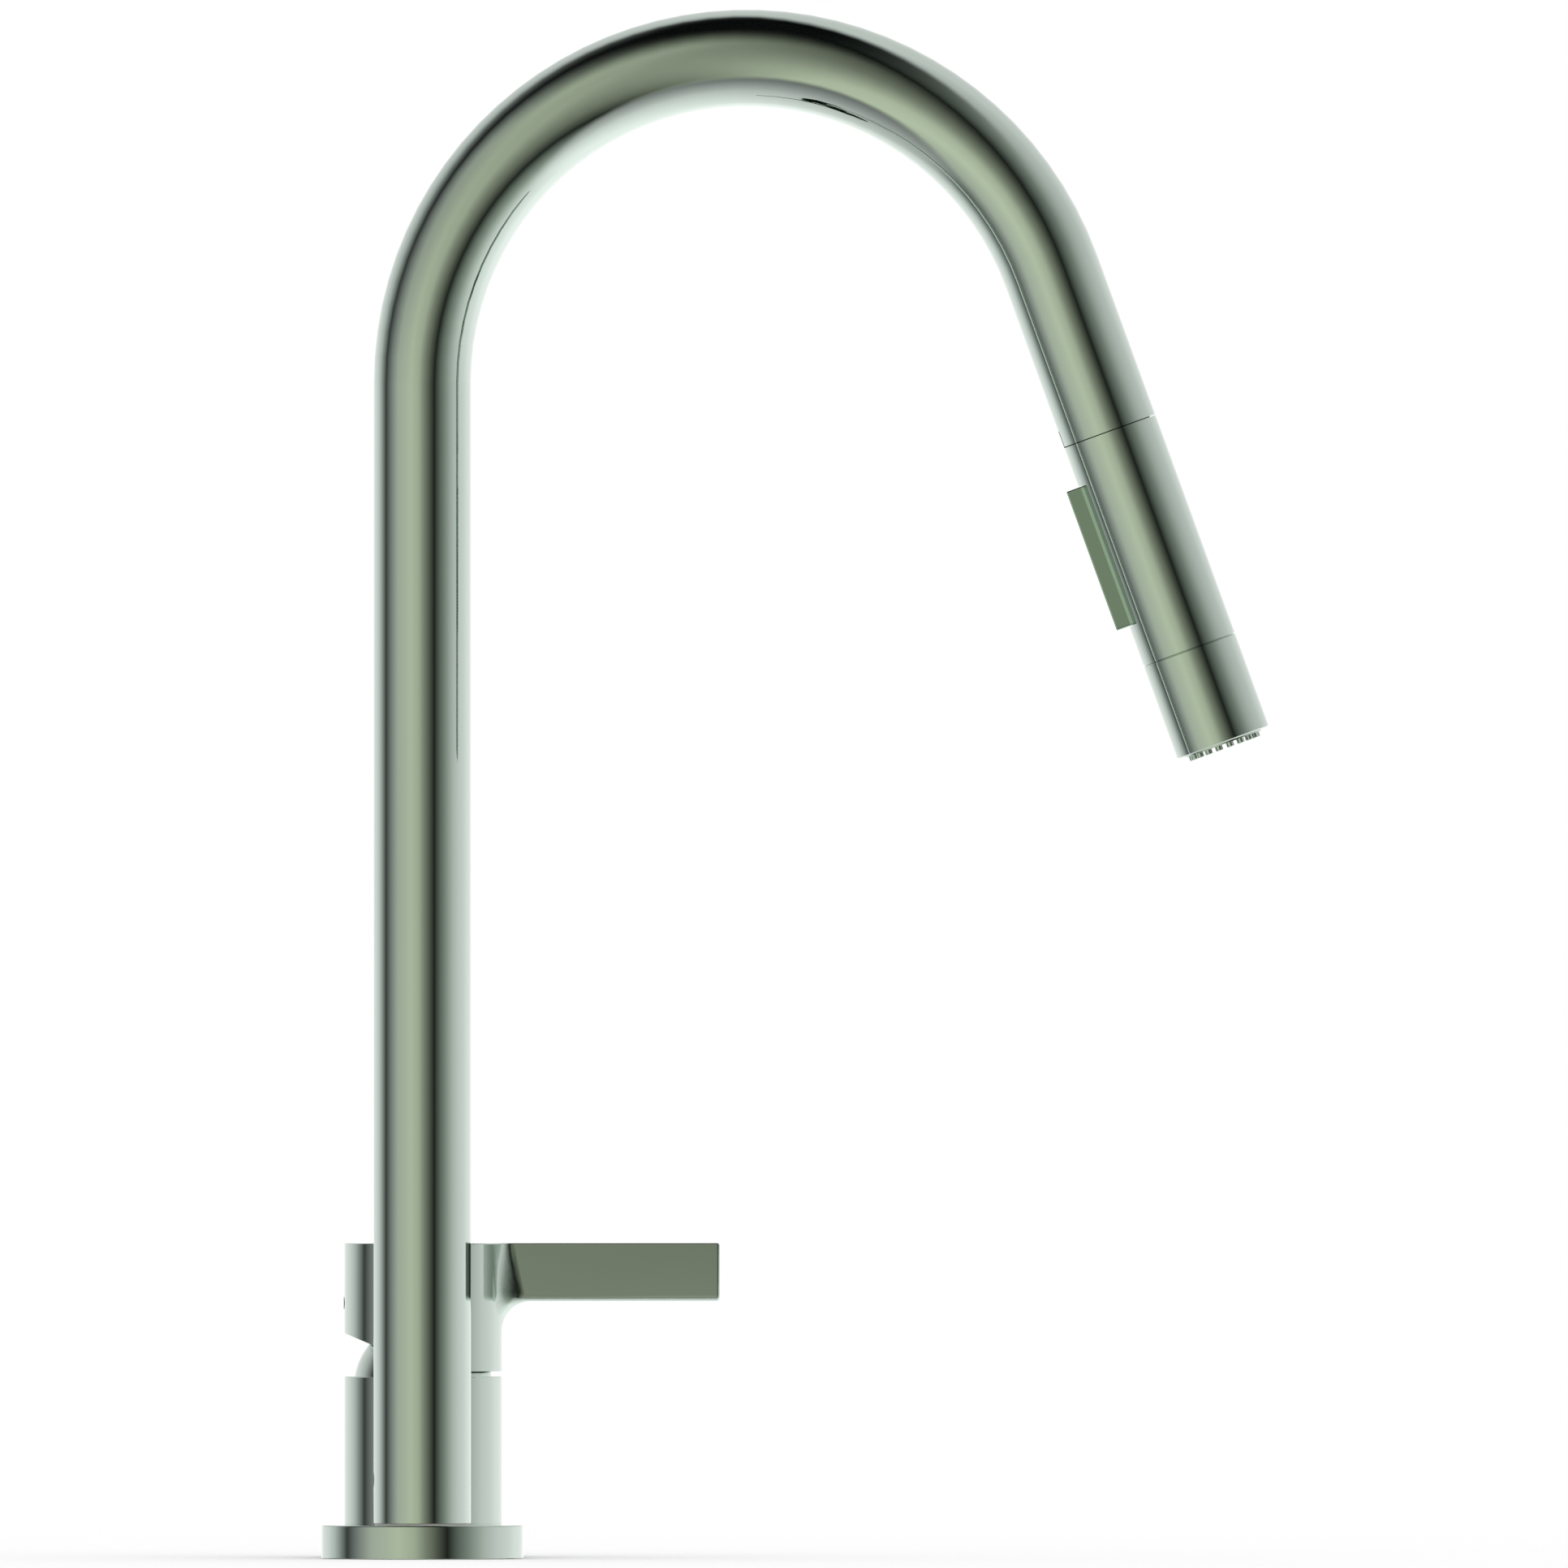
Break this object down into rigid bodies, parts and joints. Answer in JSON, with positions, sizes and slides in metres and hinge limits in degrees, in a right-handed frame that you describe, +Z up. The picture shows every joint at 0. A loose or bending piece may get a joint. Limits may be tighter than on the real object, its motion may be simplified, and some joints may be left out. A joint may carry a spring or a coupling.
{
  "type": "kitchen faucet",
  "caption": "Arched kitchen faucet with a pull-down two-mode spray head and a side lever valve on one round-ended deck plate.",
  "frame": {"origin": "spout's swivel axis in the plane of the worktop, at the underside of the deck plate", "axes": "+Z up, +X along the spout's reach toward the sink, +Y from the spout to the lever valve"},
  "size_m": [0.2723, 0.108, 0.4451],
  "materials": {
    "polished_metal": "polished, slightly green-grey metal",
    "button_metal": "satin metal",
    "plug_grey": "matte grey-green plastic",
    "brass": "machined brass",
    "steel": "plain steel",
    "black_plastic": "matte black plastic",
    "white_plastic": "natural acetal plastic",
    "grey_plastic": "moulded grey plastic",
    "ceramic": "lapped alumina ceramic",
    "rubber": "black rubber",
    "silicone": "soft dark grey silicone",
    "hose_braid": "grey braided hose cover"
  },
  "bodies": {
    "base": {"base_plate": "polished_metal", "base_gasket": "rubber", "body_screws": "steel", "spout_socket": "brass", "slide_washer": "white_plastic", "swivel_bushes": "white_plastic", "swivel_o_ring": "rubber", "hose_guide": "white_plastic", "valve_body": "polished_metal", "cartridge_base": "white_plastic", "port_seals": "rubber", "fixed_disc": "ceramic", "cartridge_housing": "white_plastic", "cartridge_nut": "brass", "dome_cover": "polished_metal"},
    "spout": {"spout_tube": "polished_metal", "swivel_sleeve": "brass", "stop_screw": "steel", "dock_sleeve": "black_plastic", "spray_hose": "hose_braid"},
    "driver": {"cartridge_driver": "grey_plastic", "pivot_pin": "steel"},
    "disc": {"moving_disc": "ceramic", "disc_carrier": "grey_plastic"},
    "lever": {"stem": "steel", "lever_handle": "polished_metal", "grub_screw": "steel", "screw_plug": "plug_grey"},
    "spray_head": {"head_neck": "black_plastic", "hose_lead": "hose_braid", "hose_ferrule": "steel", "hose_fitting": "brass", "hose_seal": "rubber", "check_valve": "white_plastic", "head_shell": "polished_metal", "button_frame": "grey_plastic", "waterway_core": "grey_plastic", "core_o_ring": "rubber", "nozzle_collar": "polished_metal", "spray_plate": "polished_metal", "nozzle_mat": "silicone", "aerator_housing": "grey_plastic", "aerator_screen": "grey_plastic", "aerator_core": "white_plastic", "button_spring": "steel"},
    "button": {"mode_button": "button_metal", "diverter_piston": "brass", "diverter_o_rings": "rubber"}
  },
  "joints": [
    {"name": "spout_swivel", "type": "hinge", "parent": "base", "child": "spout", "pos_m": [0, 0, 0.01], "axis": [0, 0, 1], "range_deg": [-75, 75]},
    {"name": "handle_swing", "type": "hinge", "parent": "base", "child": "driver", "pos_m": [0, 0.05, 0.0484], "axis": [0, 0, 1], "range_deg": [-45, 45]},
    {"name": "handle_lift", "type": "hinge", "parent": "driver", "child": "lever", "pos_m": [0, 0.05, 0.0484], "axis": [0, -1, 0], "range_deg": [0, 25]},
    {"name": "disc_slide", "type": "slide", "parent": "driver", "child": "disc", "axis": [1, 0, 0], "range_m": [0, 0.00466]},
    {"name": "spray_pull_out", "type": "slide", "parent": "spout", "child": "spray_head", "axis": [0.342, 0, -0.9397], "range_m": [0, 0.2], "stiffness_N_per_m": 5, "springref_m": -1},
    {"name": "button_press", "type": "slide", "parent": "spray_head", "child": "button", "axis": [0.9397, 0, 0.342], "range_m": [0, 0.0008], "stiffness_N_per_m": 800, "springref_m": -0.002, "deforming": ["button_spring"]}
  ],
  "couplings": [
    {"joint": "disc_slide", "follows": "handle_lift", "m_per_rad": 0.010654}
  ]
}
